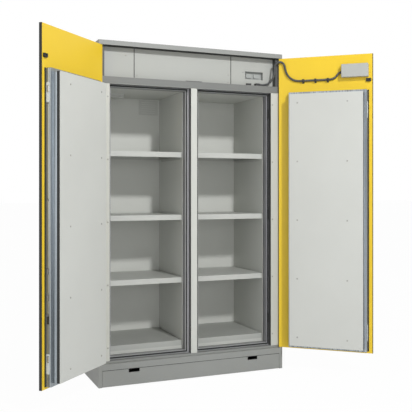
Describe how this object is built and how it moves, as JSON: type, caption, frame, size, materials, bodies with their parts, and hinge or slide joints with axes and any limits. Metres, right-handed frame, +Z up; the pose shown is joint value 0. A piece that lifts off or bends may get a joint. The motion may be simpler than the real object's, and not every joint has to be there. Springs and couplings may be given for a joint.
{
  "type": "battery cabinet",
  "caption": "Two-door fire-resisting battery cabinet with stepped sealed door leaves, lift-out shelves, a technical fascia and a clipped door cable.",
  "frame": {"origin": "on the floor at the middle of the body footprint, doors left out", "axes": "X to the right seen from the front, +Y to the back, +Z up"},
  "size_m": [2.0243, 1.0529, 2.07],
  "materials": {
    "body_grey": "fine-textured powder coat",
    "light_grey": "smooth powder coat",
    "shelf_grey": "powder coat",
    "board": "fire-resisting board",
    "laminate": "melamine-faced board",
    "lining": "lining sheet",
    "door_yellow": "smooth powder coat",
    "galvanised": "galvanised sheet",
    "seal_dark": "swelling seal strip",
    "black_plastic": "moulded plastic",
    "bright_steel": "zinc plated",
    "box_grey": "moulded housing",
    "cable_grey": "corrugated conduit"
  },
  "bodies": {
    "cabinet": {"back_board": "board", "back_sheet": "body_grey", "base_band": "body_grey", "base_frame": "body_grey", "ceiling_unit": "light_grey", "centre_jamb": "light_grey", "compartment_liners": "lining", "cross_jambs": "body_grey", "door_cable": "cable_grey", "exhaust_spigot": "galvanised", "fascia_left": "light_grey", "fascia_middle": "light_grey", "fascia_pillars": "body_grey", "fascia_right": "light_grey", "floor_board": "board", "frame_screws": "bright_steel", "frame_seals": "seal_dark", "head_fittings": "black_plastic", "head_rail": "body_grey", "hinge_pins": "bright_steel", "outer_jambs": "light_grey", "partition": "laminate", "roof_board": "board", "roof_cap": "body_grey", "shelf_left_1": "shelf_grey", "shelf_left_2": "shelf_grey", "shelf_left_3": "shelf_grey", "shelf_rails": "light_grey", "shelf_right_1": "shelf_grey", "shelf_right_2": "shelf_grey", "shelf_right_3": "shelf_grey", "side_boards": "board", "side_sheets": "body_grey", "sump_trays": "shelf_grey", "terminal_recess": "light_grey", "tray_inserts": "shelf_grey", "vent_plate": "light_grey"},
    "plinth_cover": {"plinth_cover": "body_grey"},
    "left_door": {"left_door_core": "board", "left_door_edge": "seal_dark", "left_door_screws": "bright_steel", "left_door_skin": "door_yellow", "left_leaf_frame": "galvanised", "left_leaf_panel": "light_grey", "left_leaf_seal": "seal_dark"},
    "right_door": {"cable_clips": "black_plastic", "control_box": "box_grey", "right_door_core": "board", "right_door_edge": "seal_dark", "right_door_screws": "bright_steel", "right_door_skin": "door_yellow", "right_handle_plate": "black_plastic", "right_leaf_frame": "galvanised", "right_leaf_panel": "light_grey", "right_leaf_seal": "seal_dark"},
    "left_bolts": {"left_latch_bolts": "bright_steel"},
    "left_release": {"left_release_slider": "black_plastic"},
    "right_bolts": {"right_latch_bolts": "bright_steel"},
    "handle": {"right_handle": "black_plastic"},
    "lock_plug": {"right_lock_plug": "bright_steel"}
  },
  "joints": [
    {"name": "left_door_hinge", "type": "hinge", "parent": "cabinet", "child": "left_door", "pos_m": [-0.5865, -0.302, 1.06], "axis": [0, 0, 1], "range_deg": [-5.9, 134.1]},
    {"name": "right_door_hinge", "type": "hinge", "parent": "cabinet", "child": "right_door", "pos_m": [0.5865, -0.302, 1.06], "axis": [0, 0, -1], "range_deg": [-2, 138], "deforming": ["door_cable"]},
    {"name": "plinth_cover_pull", "type": "slide", "parent": "cabinet", "child": "plinth_cover", "axis": [0, -1, 0], "range_m": [0, 0.04]},
    {"name": "handle_turn", "type": "hinge", "parent": "right_door", "child": "handle", "pos_m": [1.0049, -0.65181, 1.085], "axis": [0.6691, 0.7431, 0], "range_deg": [0, 90]},
    {"name": "lock_turn", "type": "hinge", "parent": "right_door", "child": "lock_plug", "pos_m": [0.99954, -0.65776, 1.01], "axis": [0.6691, 0.7431, 0], "range_deg": [0, 90]},
    {"name": "right_bolt_slide", "type": "slide", "parent": "right_door", "child": "right_bolts", "axis": [0.7431, -0.6691, 0], "range_m": [0, 0.016]},
    {"name": "left_release_slide", "type": "slide", "parent": "left_door", "child": "left_release", "axis": [0, 0, 1], "range_m": [0, 0.012]},
    {"name": "left_bolt_slide", "type": "slide", "parent": "left_door", "child": "left_bolts", "axis": [-0.6959, -0.7181, 0], "range_m": [0, 0.016]}
  ],
  "couplings": [
    {"joint": "right_bolt_slide", "follows": "handle_turn", "m_per_rad": 0.010185},
    {"joint": "left_bolt_slide", "follows": "left_release_slide", "ratio": 1.333}
  ]
}
